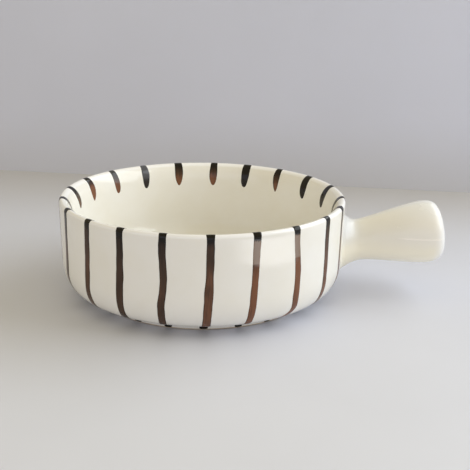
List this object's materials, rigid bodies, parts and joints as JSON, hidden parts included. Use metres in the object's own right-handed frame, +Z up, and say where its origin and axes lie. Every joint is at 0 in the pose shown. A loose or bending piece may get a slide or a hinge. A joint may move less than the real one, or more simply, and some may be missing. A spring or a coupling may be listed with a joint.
{
  "type": "handled bowl",
  "caption": "Round ceramic bowl with an almost upright wall, rounded lip and foot ring, a hollow stub handle and brushed stripes over the lip, for serving or baking one portion.",
  "frame": {"origin": "on the plane that the foot ring stands on, under the middle of the overall length with the handle; the bowl's own axis is 28.1 mm from it towards -X", "axes": "+X from the bowl out along the handle, +Z up, +Y away from the side that the picture shows"},
  "size_m": [0.2112, 0.1557, 0.0556],
  "materials": {
    "ivory_glaze": "glossy warm ivory glaze on stoneware, bare on the foot ring's resting face",
    "handle_glaze": "glossy warm ivory glaze on a slip-cast hollow handle",
    "joint_slip": "fired luting slip under the glaze",
    "brown_stripe": "glossy brushed iron-brown ceramic colour, near black where it lies thick"
  },
  "bodies": {
    "root": {"bowl_body": "ivory_glaze", "handle": "handle_glaze", "joint_slip": "joint_slip", "stripe_01": "brown_stripe", "stripe_02": "brown_stripe", "stripe_03": "brown_stripe", "stripe_04": "brown_stripe", "stripe_05": "brown_stripe", "stripe_06": "brown_stripe", "stripe_07": "brown_stripe", "stripe_08": "brown_stripe", "stripe_09": "brown_stripe", "stripe_10": "brown_stripe", "stripe_11": "brown_stripe", "stripe_12": "brown_stripe", "stripe_13": "brown_stripe", "stripe_14": "brown_stripe", "stripe_15": "brown_stripe", "stripe_16": "brown_stripe", "stripe_17": "brown_stripe", "stripe_18": "brown_stripe", "stripe_19": "brown_stripe", "stripe_20": "brown_stripe", "stripe_21": "brown_stripe"}
  },
  "joints": []
}
